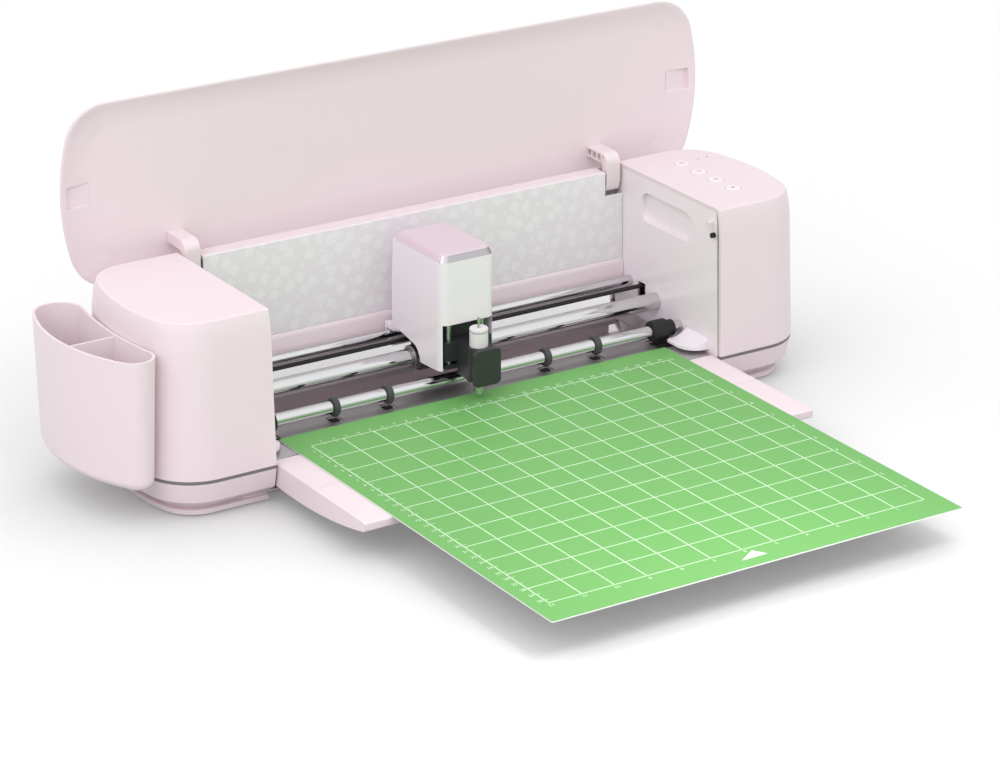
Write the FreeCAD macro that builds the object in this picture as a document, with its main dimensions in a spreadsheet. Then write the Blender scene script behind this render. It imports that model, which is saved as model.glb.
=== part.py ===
"""Desktop craft cutter with a raised lid, a sliding blade carriage and a loaded grip mat.

Frame: X to the right, Y to the back, Z up, millimetres. The origin is on the table,
midway between the two side plates and near the middle of the machine's depth.
"""

import FreeCAD, Part
import math
import os

import Sketcher

doc = FreeCAD.newDocument("craft_cutter")
sheet = doc.addObject("Spreadsheet::Sheet", "Sizes")

DIMENSIONS = {
    "bay_half": 189.5,
    "wall": 2.5,
    "plate_thick": 1.8,
    "top_level": 145.0,
    "accent_level": 31.0,
    "accent_tall": 2.7,
    "tub_low": 5.0,
    "foot_tall": 1.5,
    "outline_half": 271.5,
    "side_radius": 165.0,
    "side_centre": -1.0,
    "front_edge": -67.0,
    "rear_edge": 67.7,
    "front_corner": 32.5,
    "rear_corner": 32.0,
    "rim_growth": -0.5,
    "shoulder_growth": 3.0,
    "shoulder_drop": 20.0,
    "draft_growth": 6.5,
    "deck_level": 29.8,
    "sheet_thick": 1.2,
    "mat_half": 166.0,
    "mat_near": -386.6,
    "mat_far": -34.2,
    "mat_thick": 1.0,
    "mat_gap": 0.2,
    "door_half": 187.8,
    "door_front": -189.7,
    "door_seam": -120.8,
    "door_back": -63.2,
    "front_rail_depth": 12.0,
    "front_rail_level": 49.0,
    "front_rail_radius": 6.5,
    "rear_rail_depth": 47.0,
    "rear_rail_level": 55.0,
    "rear_rail_radius": 4.0,
    "belt_depth": 31.5,
    "belt_level": 55.6,
    "belt_wide": 6.0,
    "belt_thick": 1.2,
    "pulley_radius": 6.0,
    "nip_depth": -20.0,
    "pinch_radius": 4.75,
    "ring_radius": 7.2,
    "pinch_roller_radius": 8.2,
    "grip_radius": 8.4,
    "journal_radius": 4.0,
    "inner_ring": 68.0,
    "outer_ring": 112.5,
    "gear_teeth": 24.0,
    "pinion_teeth": 10.0,
    "carriage_place": -5.3,
    "carriage_half": 23.0,
    "carriage_front": -31.0,
    "carriage_rear": 36.0,
    "carriage_low": 51.0,
    "carriage_top": 134.0,
    "cap_tall": 5.8,
    "tool_depth": -44.5,
    "tool_radius": 6.85,
    "tool_top": 86.0,
    "nose_level": 34.0,
    "panel_depth": 57.6,
    "panel_low": 70.0,
    "lid_depth": 81.0,
    "lid_top": 260.5,
    "lid_long": 136.0,
    "lid_thick": 9.5,
    "lid_seat_gap": 0.6,
    "arm_inner": 174.6,
    "arm_outer": 187.1,
    "button_column": 228.2,
    "button_first": 35.4,
    "button_pitch": 22.15,
    "button_radius": 6.0,
    "cup_place": -295.0,
    "cup_centre": 6.0,
    "cup_top": 124.0,
    "cup_low": 28.0,
    "cup_wall": 2.0,
    "cup_inner": 19.6,
    "cup_outer": -20.9,
    "cup_inner_radius": 272.0,
    "cup_outer_radius": 135.0,
    "cup_front_radius": 14.2,
    "cup_rear_radius": 18.3,
    "running_gap": 0.05,
}


class Size:
    """A length that carries its value and the sheet formula that gives it."""

    def __init__(self, value, formula):
        self.value = value
        self.formula = formula

    def __add__(self, other):
        other = size(other)
        return Size(self.value + other.value, f"({self.formula} + {other.formula})")

    def __sub__(self, other):
        other = size(other)
        return Size(self.value - other.value, f"({self.formula} - {other.formula})")

    def __mul__(self, other):
        other = size(other)
        return Size(self.value * other.value, f"({self.formula} * {other.formula})")

    def __truediv__(self, other):
        other = size(other)
        return Size(self.value / other.value, f"({self.formula} / {other.formula})")

    def __neg__(self):
        return size(0) - self

    def __radd__(self, other):
        return size(other) + self

    def __rsub__(self, other):
        return size(other) - self

    __rmul__ = __mul__

    def root(self):
        return Size(math.sqrt(self.value), f"sqrt({self.formula})")


def size(x):
    """Any number as a Size."""
    if isinstance(x, Size):
        return x
    text = repr(float(x))
    return Size(float(x), text if x >= 0 else f"(0 - {text[1:]})")


def cell(alias):
    """The Size of one named cell of the sheet."""
    return Size(float(sheet.get(alias)), f"Sizes.{alias}")


rows = 0


def fill(alias, text):
    """Write one named cell of the sheet."""
    global rows
    rows += 1
    sheet.set(f"A{rows}", alias)
    sheet.set(f"B{rows}", text)
    sheet.setAlias(f"B{rows}", alias)


def named(alias, x):
    """Keep a worked-out size in the sheet under its own name."""
    fill(alias, "=" + x.formula.replace("Sizes.", ""))
    return Size(x.value, f"Sizes.{alias}")


for alias, value in DIMENSIONS.items():
    fill(alias, str(value))
doc.recompute()

bay = cell("bay_half")
wall = cell("wall")
plate_out = bay + cell("plate_thick")
top = cell("top_level")
accent = cell("accent_level")
tub_top = accent - cell("accent_tall")
tub_low = cell("tub_low")
foot_tall = cell("foot_tall")
draft = cell("draft_growth")
rim_growth = cell("rim_growth")
shoulder = cell("shoulder_growth")
deck = cell("deck_level")
bed_under = deck - cell("sheet_thick")
mat_low = deck + cell("mat_gap")
mat_top = mat_low + cell("mat_thick")
gap = cell("running_gap")
front_rail = (cell("front_rail_depth"), cell("front_rail_level"))
rear_rail = (cell("rear_rail_depth"), cell("rear_rail_level"))
nip = cell("nip_depth")
pinch_axis = (nip, mat_top + cell("pinch_roller_radius") + cell("mat_gap"))
grip_top = deck - 0.1
drive_axis = (nip, grip_top - cell("grip_radius"))
journal = cell("journal_radius")
ring_places = [-cell("outer_ring"), -cell("inner_ring"), cell("inner_ring"), cell("outer_ring")]
belt_mid = cell("belt_depth")
belt_front = belt_mid - cell("belt_wide") / 2
belt_rear = belt_mid + cell("belt_wide") / 2
belt_high = cell("belt_level")
belt_loop = cell("pulley_radius") + gap + cell("belt_thick")
pulley_level = belt_high - belt_loop
belt_low = pulley_level - belt_loop
motor_half = size(17.5)
pulley_place = plate_out + motor_half
carriage = cell("carriage_place")
half = cell("carriage_half")
tool_y = cell("tool_depth")
tool_r = cell("tool_radius")
lid_plane = cell("lid_depth")
lid_top = cell("lid_top")
lid_low = lid_top - cell("lid_long")
lid_closed_rear = cell("front_edge") + cell("lid_long")
lid_seat = top + cell("lid_seat_gap")
pivot_z = (lid_closed_rear + lid_low + lid_seat - lid_plane) / 2
pivot_y = lid_closed_rear + lid_low - pivot_z
door_pivot = (size(-60.0), size(20.0))
pin_r = size(2.0)

nodes = {}


def keep(name, thing):
    """Give a finished sub-part its label and list it for export."""
    thing.Label = name
    nodes[name] = thing
    return thing


def bind(thing, prop, x):
    thing.setExpression(prop, size(x).formula)


def spot(thing, x, y, z):
    """Bind a thing's position to three sizes."""
    for letter, value in zip("xyz", (x, y, z)):
        bind(thing, f"Placement.Base.{letter}", value)


def box(name, x0, x1, y0, y1, z0, z1):
    """A block between two X, two Y and two Z levels."""
    thing = doc.addObject("Part::Box", name)
    bind(thing, "Length", size(x1) - x0)
    bind(thing, "Width", size(y1) - y0)
    bind(thing, "Height", size(z1) - z0)
    spot(thing, x0, y0, z0)
    return thing


TURNS = {
    "X": FreeCAD.Rotation(FreeCAD.Vector(0, 1, 0), 90),
    "Y": FreeCAD.Rotation(FreeCAD.Vector(1, 0, 0), -90),
    "Z": FreeCAD.Rotation(),
}


def rod(name, axis, centre, radius, start, end):
    """A round bar along one axis, from start to end, with its centre in the other two."""
    thing = doc.addObject("Part::Cylinder", name)
    bind(thing, "Radius", radius)
    bind(thing, "Height", size(end) - start)
    thing.Placement = FreeCAD.Placement(FreeCAD.Vector(), TURNS[axis])
    a, b = centre
    places = {"X": (start, a, b), "Y": (a, start, b), "Z": (a, b, start)}
    spot(thing, *places[axis])
    return thing


def fuse(name, things):
    if len(things) == 1:
        return things[0]
    thing = doc.addObject("Part::MultiFuse", name)
    thing.Shapes = things
    return thing


def cut(name, base, tools):
    thing = doc.addObject("Part::Cut", name)
    thing.Base = base
    thing.Tool = fuse(f"{name}_tools", tools)
    return thing


def group(name, things):
    """Several like solids under one name."""
    thing = doc.addObject("Part::Compound", name)
    thing.Links = things
    return thing


def rounded(u0, u1, v0, v1, radii):
    """A rectangle with round corners, radii from low-left round to high-left."""
    u0, u1, v0, v1 = size(u0), size(u1), size(v0), size(v1)
    a, b, c, d = (size(r) for r in radii)
    return [
        (u0 + a, v0, a), (u1 - b, v0), (u1, v0 + b, b), (u1, v1 - c),
        (u1 - c, v1, c), (u0 + d, v1), (u0, v1 - d, d), (u0, v0 + a),
    ]


def block(u0, u1, v0, v1):
    return [(size(u0), size(v0)), (size(u1), size(v0)), (size(u1), size(v1)), (size(u0), size(v1))]


def arc_between(p, q, radius):
    """The short arc from p to q, anticlockwise for a positive radius, and its end order."""
    if radius < 0:
        arc, _ = arc_between(q, p, -radius)
        return arc, (2, 1)
    middle = (p + q) * 0.5
    along = q - p
    rise = math.sqrt(max(radius**2 - (along.Length / 2) ** 2, 0))
    left = FreeCAD.Vector(-along.y, along.x, 0).normalize()
    centre = middle + left * rise
    first = math.atan2(p.y - centre.y, p.x - centre.x)
    last = math.atan2(q.y - centre.y, q.x - centre.x)
    circle = Part.Circle(centre, FreeCAD.Vector(0, 0, 1), radius)
    return Part.ArcOfCircle(circle, first, last), (1, 2)


class Piece:
    """A sub-part made of sketches and features."""

    planes = {"XY": "XY_Plane", "XZ": "XZ_Plane", "YZ": "YZ_Plane"}

    def __init__(self, name):
        self.name = name
        self.count = 0
        self.body = doc.addObject("PartDesign::Body", name)

    def add(self, kind):
        self.count += 1
        return self.body.newObject(kind, f"{self.name}_{self.count}")

    def sketch(self, plane, level, loops):
        """Closed loops on a plane at a level measured along the plane's own axis."""
        drawing = self.add("Sketcher::SketchObject")
        role = self.planes[plane]
        support = [f for f in self.body.Origin.OriginFeatures if f.Role == role][0]
        drawing.AttachmentSupport = [(support, "")]
        drawing.MapMode = "FlatFace"
        level = size(level)
        bind(drawing, "AttachmentOffset.Base.z", -level if plane == "XZ" else level)
        for loop in loops:
            if isinstance(loop, tuple):
                self.draw_circle(drawing, loop)
            else:
                self.draw_loop(drawing, loop)
        return drawing

    def rule(self, drawing, kind, x, *where):
        number = drawing.addConstraint(Sketcher.Constraint(kind, *where, size(x).value))
        drawing.setExpression(f"Constraints[{number}]", size(x).formula)

    def draw_circle(self, drawing, loop):
        u, v, radius = (size(x) for x in loop)
        centre = FreeCAD.Vector(u.value, v.value, 0)
        circle = Part.Circle(centre, FreeCAD.Vector(0, 0, 1), radius.value)
        made = drawing.addGeometry(circle, False)
        self.rule(drawing, "DistanceX", u, -1, 1, made, 3)
        self.rule(drawing, "DistanceY", v, -1, 1, made, 3)
        self.rule(drawing, "Radius", radius, made)

    def draw_loop(self, drawing, loop):
        """Lines and arcs through the points; a third number is the arc that arrives there."""
        made = []
        for here, there in zip(loop, loop[1:] + loop[:1]):
            p = FreeCAD.Vector(size(here[0]).value, size(here[1]).value, 0)
            q = FreeCAD.Vector(size(there[0]).value, size(there[1]).value, 0)
            if len(there) == 3:
                curve, ends = arc_between(p, q, size(there[2]).value)
            else:
                curve, ends = Part.LineSegment(p, q), (1, 2)
            made.append((drawing.addGeometry(curve, False), ends))
        for number, (here, there) in enumerate(zip(loop, loop[1:] + loop[:1])):
            line, ends = made[number]
            after, after_ends = made[(number + 1) % len(made)]
            joint = Sketcher.Constraint("Coincident", line, ends[1], after, after_ends[0])
            drawing.addConstraint(joint)
            self.rule(drawing, "DistanceX", here[0], -1, 1, line, ends[0])
            self.rule(drawing, "DistanceY", here[1], -1, 1, line, ends[0])
            if len(there) == 3:
                radius = size(there[2])
                self.rule(drawing, "Radius", radius if radius.value > 0 else -radius, line)

    def pad(self, plane, start, end, loops):
        feature = self.add("PartDesign::Pad")
        feature.Profile = self.sketch(plane, end if plane == "XZ" else start, loops)
        bind(feature, "Length", size(end) - start)
        return self

    def pocket(self, plane, start, end, loops):
        """Cut the loops out between two levels, and check that something was cut."""
        doc.recompute()
        before = self.body.Shape.Volume
        feature = self.add("PartDesign::Pocket")
        feature.Profile = self.sketch(plane, start if plane == "XZ" else end, loops)
        bind(feature, "Length", size(end) - start)
        doc.recompute()
        if self.body.Shape.Volume > before - 0.1:
            raise RuntimeError(f"a pocket in {self.name} cut nothing")
        return self

    def loft(self, plane, sections, kind="Additive", ruled=True):
        """A solid, or a hollow, through loops at two or more levels."""
        feature = self.add(f"PartDesign::{kind}Loft")
        drawings = [self.sketch(plane, level, [loop]) for level, loop in sections]
        feature.Profile = drawings[0]
        feature.Sections = drawings[1:]
        feature.Ruled = ruled
        doc.recompute()
        return self

    def turn(self, loop):
        """A solid turned about the body's own Z axis from a profile of radius and height."""
        drawing = self.sketch("XZ", 0, [loop])
        feature = self.add("PartDesign::Revolution")
        feature.Profile = drawing
        feature.ReferenceAxis = (drawing, ["V_Axis"])
        feature.Angle = 360
        doc.recompute()
        return self

    def soften(self, radius, wanted):
        """Round the edges that the test picks."""
        doc.recompute()
        base = self.body.Tip
        names = [f"Edge{i}" for i, e in enumerate(base.Shape.Edges, 1) if wanted(e)]
        feature = self.add("PartDesign::Fillet")
        feature.Base = (base, names)
        bind(feature, "Radius", radius)
        doc.recompute()
        return self

    def stand(self, x, y, z, axis="Z"):
        """Place a turned piece with its axis along X, Y or Z."""
        self.body.Placement = FreeCAD.Placement(FreeCAD.Vector(), TURNS[axis])
        spot(self.body, x, y, z)
        return self

    def keep(self):
        return keep(self.name, self.body)


def lies_at(edge, level, axis="z"):
    """Is the whole edge on the plane at this level?"""
    return all(abs(getattr(v.Point, axis) - size(level).value) < 0.01 for v in edge.Vertexes)


def corner_marks(grow):
    """Points where the housing outline's arcs meet, on the right, for an outline grown outwards."""
    side_r = cell("side_radius")
    side_x = cell("outline_half") - side_r
    side_y = cell("side_centre")
    front_r, rear_r = cell("front_corner"), cell("rear_corner")
    front_y = cell("front_edge") + front_r
    rear_y = cell("rear_edge") - rear_r
    marks = []
    for radius, y in ((front_r, front_y), (rear_r, rear_y)):
        reach = side_r - radius
        x = side_x + (reach * reach - (y - side_y) * (y - side_y)).root()
        share = (side_r + grow) / reach
        marks.append((x, (side_x + (x - side_x) * share, side_y + (y - side_y) * share)))
    (front_x, front_meet), (rear_x, rear_meet) = marks
    return front_x, front_meet, rear_meet, rear_x


def end_outline(side, grow, inner):
    """One end of the machine seen from above: straight inside edge, round outside."""
    grow = size(grow)
    front_x, front_meet, rear_meet, rear_x = corner_marks(grow)
    front_y, rear_y = cell("front_edge") - grow, cell("rear_edge") + grow
    return [
        (side * size(inner), front_y),
        (side * front_x, front_y),
        (side * front_meet[0], front_meet[1], side * (cell("front_corner") + grow)),
        (side * rear_meet[0], rear_meet[1], side * (cell("side_radius") + grow)),
        (side * rear_x, rear_y, side * (cell("rear_corner") + grow)),
        (side * size(inner), rear_y),
    ]


def lid_outline(grow):
    """The whole lid seen from the front when it stands open; its front edge is on top."""
    grow = size(grow)
    front_x, front_meet, rear_meet, rear_x = corner_marks(grow)
    level = lid_top + cell("front_edge")
    rise = lid_closed_rear - cell("rear_edge")
    front_r = -(cell("front_corner") + grow)
    side_r = -(cell("side_radius") + grow)
    rear_r = -(cell("rear_corner") + grow)
    high = lid_top + grow
    low = lid_low - grow
    meet = level - front_meet[1]
    turn = level - rear_meet[1] - rise
    return [
        (-front_x, high, front_r), (front_x, high), (front_meet[0], meet, front_r),
        (rear_meet[0], turn, side_r), (rear_x, low, rear_r), (-rear_x, low),
        (-rear_meet[0], turn, rear_r), (-front_meet[0], meet, side_r),
    ]


SIDES = {"left": -1, "right": 1}


def side_span(side, inner, outer):
    """Start and end in X of something between two distances from the middle."""
    inner, outer = size(inner), size(outer)
    return (inner, outer) if side > 0 else (-outer, -inner)


def make_base_pan():
    """Lower tub: a floor under the bay and a round-bottomed lobe under each housing."""
    pan = Piece("base_pan")
    floor_top = tub_low + 2
    pan.pad("XY", tub_low, floor_top, [block(-bay - 20, bay + 20, -59.5, 64.5)])
    middle = (tub_low + tub_top) / 2 - 3
    for side in SIDES.values():
        outer = [
            (tub_top, end_outline(side, draft - 0.3, bay)),
            (middle, end_outline(side, draft - 3.5, bay)),
            (tub_low, end_outline(side, -9, bay)),
        ]
        pan.loft("XY", outer)
    for side in SIDES.values():
        inner = [
            (tub_top, end_outline(side, draft - 0.3 - wall, bay - 1)),
            (middle, end_outline(side, draft - 3.5 - wall, bay - 1)),
            (floor_top, end_outline(side, -9 - wall, bay - 1)),
        ]
        pan.loft("XY", inner, "Subtractive")
    for side in SIDES.values():
        pan.pad("XY", foot_tall, tub_low, [end_outline(side, -4.5, bay + 1)])
    pan.pad("XY", foot_tall, tub_low, [block(-bay - 20, bay + 20, -54, 62)])
    rib = bay - 9
    pan.pad("XZ", -59.5, -57.5, [block(-rib, rib, tub_low, bed_under)])
    pan.pad("XZ", 62, 64.5, [block(-rib, rib, tub_low, bed_under)])
    pan.keep()


def make_feet():
    places = [(side * size(235), size(y)) for side in SIDES.values() for y in (-35, 45)]
    places.append((size(0), size(0)))
    feet = [rod(f"foot_{i}", "Z", place, 7, 0, foot_tall) for i, place in enumerate(places)]
    keep("rubber_feet", group("rubber_feet", feet))


def housing(name):
    """Upper shell at one end, drafted wider towards the bottom and open to the bay."""
    side = SIDES[name]
    shell = Piece(f"{name}_housing")
    drop = cell("shoulder_drop")
    profile = [
        (top, rim_growth), (top - drop * 0.35, rim_growth + (shoulder - rim_growth) * 0.55),
        (top - drop, shoulder), (accent, draft),
    ]
    shell.loft("XY", [(level, end_outline(side, grow, bay)) for level, grow in profile])
    shell.soften(1.5, lambda e: lies_at(e, top) and not lies_at(e, side * bay, "x"))
    roof = [(top - wall, rim_growth - wall + 0.6)] + [(z, grow - wall) for z, grow in profile[1:]]
    hollow = [(level, end_outline(side, grow, bay - 1)) for level, grow in roof]
    shell.loft("XY", hollow, "Subtractive")
    return shell


cup_lug = size(-277.0)
lug_low, lug_high = size(88), size(102)


def make_left_housing():
    """The left shell carries the small lug that the tool cup hangs on."""
    shell = housing("left")
    middle = cell("cup_centre")
    shell.pad("XZ", middle - 6, middle + 6, [block(cup_lug, cup_lug + 5, lug_low, lug_high)])
    shell.keep()


button_rows = [cell("button_first") - cell("button_pitch") * i for i in range(4)]
button_column = cell("button_column")
button_hole = cell("button_radius") + 0.3
jack_span = (size(212), size(224), size(50), size(61))
port_span = (size(196), size(208), size(50), size(56))


def make_right_housing():
    """The right shell has the button holes on top and the two ports behind."""
    shell = housing("right")
    holes = [(button_column, y, button_hole) for y in button_rows]
    shell.pocket("XY", top - wall - 1, top + 1, holes)
    ports = [
        block(x0 - 0.1, x1 + 0.1, z0 - 0.1, z1 + 0.1)
        for x0, x1, z0, z1 in (jack_span, port_span)
    ]
    shell.pocket("XZ", 66, 85, ports)
    shell.keep()


def make_accents():
    """Dark band between tub and housing, all but flush with both."""
    for name, side in SIDES.items():
        band = Piece(f"{name}_accent")
        band.pad("XY", tub_top, accent, [end_outline(side, draft - 0.2, bay)])
        band.pocket("XY", tub_top, accent, [end_outline(side, draft - 3.6, bay - 1)])
        band.keep()


pocket_loop = (-32, 33, 108, 131)
belt_slot = block(belt_front - 2, belt_rear + 2, belt_low - 2, belt_high + 2)


def make_side_plates():
    """Sheet plate that closes each housing and carries rails, rollers and hinge pins."""
    for name, side in SIDES.items():
        plate = Piece(f"{name}_side_plate")
        edge = [
            (-52, tub_low + 2), (-66.5, 24), (-69, accent), (-63.8, 142.3),
            (64.6, 142.3), (69.8, 60), (66, 24), (56, tub_low + 2),
        ]
        start, end = side_span(side, bay, plate_out)
        plate.pad("YZ", start, end, [edge])
        low_y, high_y, low_z, high_z = pocket_loop
        deep = side_span(side, plate_out, plate_out + 4)
        outer = rounded(low_y - 1.5, high_y + 1.5, low_z - 1.5, high_z + 1.5, [9.5] * 4)
        plate.pad("YZ", *deep, [outer])
        well = side_span(side, bay, plate_out + 2.5)
        plate.pocket("YZ", *well, [rounded(low_y, high_y, low_z, high_z, [8] * 4)])
        holes = [
            (*front_rail, cell("front_rail_radius") + gap),
            (*rear_rail, cell("rear_rail_radius") + gap),
            (*pinch_axis, journal + gap),
            (*drive_axis, journal + gap),
            (pivot_y, pivot_z, pin_r + gap),
            (*door_pivot, pin_r + gap),
            belt_slot,
        ]
        plate.pocket("YZ", start, end, holes)
        plate.keep()


def make_rear_cover():
    """Back wall with a ledge under the inner panel, and the mat's way out below it."""
    cover = Piece("rear_cover")
    back, skin = size(72), size(2.2)
    front, ledge = size(55.5), cell("panel_low")
    low, high = size(44.5), size(141.5)
    panel_back = cell("panel_depth") + 2
    profile = [
        (back, low), (back, high), (panel_back, high), (panel_back, high - 3),
        (back - skin, high - 3), (back - skin, ledge), (cell("panel_depth"), ledge),
        (front, ledge - 4), (front, low), (front + skin, low), (front + skin, ledge - 4),
        (front + 3, ledge - skin), (back - skin, ledge - skin), (back - skin, low),
    ]
    cover.pad("YZ", -bay + 0.2, bay - 0.2, [profile])
    notch = cell("arm_inner") - 1.8
    for side in SIDES.values():
        u0, u1 = side_span(side, notch, bay)
        cover.pocket("XZ", panel_back, back - skin, [block(u0, u1, high - 3, high)])
    cover.keep()


def make_rear_panel():
    """Flat inner panel, notched at both ends for the lid's arms."""
    panel = Piece("rear_panel")
    edge = bay - 0.3
    notch = cell("arm_inner") - 1.8
    low, high, step = cell("panel_low"), size(141.5), size(122.2)
    outline = [
        (-edge, low), (edge, low), (edge, step), (notch, step),
        (notch, high), (-notch, high), (-notch, step), (-edge, step),
    ]
    depth = cell("panel_depth")
    panel.pad("XZ", depth, depth + 2, [outline])
    panel.keep()


def make_bed_plate():
    """Sheet bed under the mat: a window behind the nip and openings for the grip rollers."""
    bed = Piece("bed_plate")
    half_bed = bay - 2.2
    bed.pad("XY", bed_under, deck, [block(-half_bed, half_bed, -61.8, 70)])
    window = rounded(-172, 172, -11, 37.5, [2] * 4)
    slots = [rounded(x - 5, x + 5, nip - 6, nip + 5, [2.5] * 4) for x in ring_places]
    bed.pocket("XY", bed_under, deck, [window] + slots)
    for side in SIDES.values():
        u0, u1 = side_span(side, 162, half_bed + 1)
        bed.pocket("XY", bed_under, deck, [block(u0, u1, nip - 13, nip + 6)])
    lip = [(37.5, deck), (37.5, deck - 4), (38.7, deck - 4), (38.7, deck)]
    bed.pad("YZ", -170, 170, [lip])
    bed.keep()


def make_rails():
    for name, centre in (("front_rail", front_rail), ("rear_rail", rear_rail)):
        shaft = Piece(name)
        radius = cell(f"{name}_radius")
        length = plate_out * 2 - 0.2
        chamfer = size(0.8)
        shaft.turn([
            (0, 0), (radius - chamfer, 0), (radius, chamfer),
            (radius, length - chamfer), (radius - chamfer, length), (0, length),
        ])
        shaft.stand(-plate_out + 0.1, *centre, axis="X")
        shaft.keep()


def make_belt():
    """Closed flat belt, one run above the other, round the two pulleys."""
    belt = Piece("drive_belt")
    loops = []
    for radius in (belt_loop, belt_loop - cell("belt_thick")):
        loops.append([
            (-pulley_place, pulley_level - radius, radius), (pulley_place, pulley_level - radius),
            (pulley_place + radius, pulley_level, radius), (pulley_place, pulley_level + radius, radius),
            (-pulley_place, pulley_level + radius), (-pulley_place - radius, pulley_level, radius),
        ])
    belt.pad("XZ", belt_front, belt_rear, loops)
    belt.keep()


axle_radius = size(2.5)
flange_thick = size(0.9)


def make_pulleys():
    """Flanged belt pulleys, one on the motor and one idling at the far end."""
    rim = cell("pulley_radius") - 0.25
    hole, flange = axle_radius + gap, rim + 1.2
    wide = belt_rear - belt_front + 2.4
    for name, side in (("motor_pulley", 1), ("idler_pulley", -1)):
        wheel = Piece(name)
        wheel.turn([
            (hole, 0), (flange, 0), (flange, flange_thick), (rim, flange_thick),
            (rim, wide - flange_thick), (flange, wide - flange_thick), (flange, wide), (hole, wide),
        ])
        wheel.stand(side * pulley_place, belt_front - 1.2, pulley_level, axis="Y")
        wheel.keep()


def make_carriage_motor():
    """Short motor in front of its pulley, on the right side plate."""
    start, end = size(3), belt_front - 4
    can = box("motor_can", plate_out, plate_out + motor_half * 2, start, end,
              pulley_level - motor_half, pulley_level + motor_half)
    centre = (pulley_place, pulley_level)
    boss = rod("motor_boss", "Y", centre, 9, end, end + 1.5)
    shaft = rod("motor_shaft", "Y", centre, axle_radius, end, belt_rear + 2)
    keep("carriage_motor", fuse("carriage_motor", [can, boss, shaft]))


def make_idler_bracket():
    """Two ears on the left plate, with flanges, that hold the idler's axle between them."""
    ear = size(1.8)
    low, high = pulley_level - 8, pulley_level + 8
    far = -pulley_place - 6
    front, rear = belt_front - 2.2, belt_rear + 2.2
    pieces = [
        box("ear_front", far, -plate_out, front - ear, front, low, high),
        box("ear_rear", far, -plate_out, rear, rear + ear, low, high),
        box("flange_front", -plate_out - ear, -plate_out, front - 6, front, low, high),
        box("flange_rear", -plate_out - ear, -plate_out, rear, rear + 5, low, high),
        rod("idler_axle", "Y", (-pulley_place, pulley_level), axle_radius, front - ear, rear + ear),
    ]
    keep("idler_bracket", fuse("idler_bracket", pieces))


gear_span = (plate_out + 2.5, plate_out + 7.5)
pinion_turn = math.radians(150)
module = 1.0
mesh_reach = (cell("gear_teeth") + cell("pinion_teeth")) * (module / 2) + 0.3
pinion_axis = (
    drive_axis[0] + mesh_reach * round(math.cos(pinion_turn), 6),
    drive_axis[1] + mesh_reach * round(math.sin(pinion_turn), 6),
)
feed_motor_start = gear_span[1] + 2


def gear_loop(teeth, first):
    """Tooth outline of a small spur gear, as radius and angle pairs turned into points."""
    pitch = teeth * module / 2
    tip, root = pitch + 0.8 * module, pitch - 1.1 * module
    step = 2 * math.pi / teeth
    points = []
    for tooth in range(int(teeth)):
        for radius, share in ((root, -0.28), (tip, -0.11), (tip, 0.11), (root, 0.28)):
            angle = first + (tooth + share) * step
            points.append((radius * math.cos(angle), radius * math.sin(angle)))
    return points


def make_gears():
    """Feed gear on the drive roller and the motor's pinion, in mesh at rest."""
    gear_teeth = cell("gear_teeth").value
    pinion_teeth = cell("pinion_teeth").value
    half_tooth = math.pi / pinion_teeth
    wheels = (
        ("feed_gear", gear_teeth, pinion_turn, drive_axis, journal),
        ("feed_pinion", pinion_teeth, pinion_turn + math.pi + half_tooth, pinion_axis, pin_r + gap),
    )
    for name, teeth, first, axis, bore in wheels:
        wires = [Part.makePolygon([FreeCAD.Vector(0, *p) for p in closed(gear_loop(teeth, first))])]
        start, end = (x.value for x in gear_span)
        disc = Part.Face(wires).extrude(FreeCAD.Vector(end - start, 0, 0))
        hole = Part.makeCylinder(bore.value, end - start, FreeCAD.Vector(), FreeCAD.Vector(1, 0, 0))
        wheel = doc.addObject("Part::Feature", name)
        wheel.Shape = disc.cut(hole)
        spot(wheel, gear_span[0], *axis)
        keep(name, wheel)


def closed(points):
    return points + points[:1]


def make_feed_motor():
    """Round gearmotor on two posts from the right plate."""
    y, z = pinion_axis
    can = rod("feed_can", "X", pinion_axis, 15, feed_motor_start, feed_motor_start + 27)
    shaft = rod("feed_shaft", "X", pinion_axis, pin_r, gear_span[0] - 0.5, feed_motor_start)
    posts = [
        rod("feed_post_front", "X", (y - 11.5, z), 2, plate_out, feed_motor_start),
        rod("feed_post_top", "X", (y, z + 11.5), 2, plate_out, feed_motor_start),
    ]
    keep("feed_motor", fuse("feed_motor", [can, shaft] + posts))


def make_control_board():
    """Board hung from the right housing's roof, with a switch under each button."""
    low, high = size(131), size(132.6)
    board = box("board_sheet", 197, 250, -45, 50, low, high)
    posts = [
        rod(f"board_post_{i}", "Z", (size(x), size(y)), 3, high, top - wall)
        for i, (x, y) in enumerate(((202, -38), (202, 45), (245, -38), (245, 45)))
    ]
    switches = [
        box(f"switch_{i}", button_column - 3, button_column + 3, y - 3, y + 3, high, high + 3.5)
        for i, y in enumerate(button_rows)
    ]
    keep("control_board", fuse("control_board", [board] + posts + switches))


def make_ports():
    """Power socket and data socket in the right housing's back wall."""
    x0, x1, z0, z1 = jack_span
    jack = Piece("power_jack")
    jack.pad("XZ", 60, 72.8, [block(x0, x1, z0, z1)])
    jack.pocket("XZ", 63, 72.8, [((x0 + x1) / 2, (z0 + z1) / 2, 4)])
    jack.pad("XZ", 62, 72, [((x0 + x1) / 2, (z0 + z1) / 2, 1.2)])
    jack.keep()
    x0, x1, z0, z1 = port_span
    port = Piece("data_port")
    port.pad("XZ", 60, 72.8, [block(x0, x1, z0, z1)])
    port.pocket("XZ", 63, 72.8, [block(x0 + 1.2, x1 - 1.2, z0 + 1.2, z1 - 1.2)])
    port.pad("XZ", 62, 72, [block(x0 + 2.5, x1 - 2.5, z0 + 2.4, z0 + 3.6)])
    port.keep()


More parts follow.
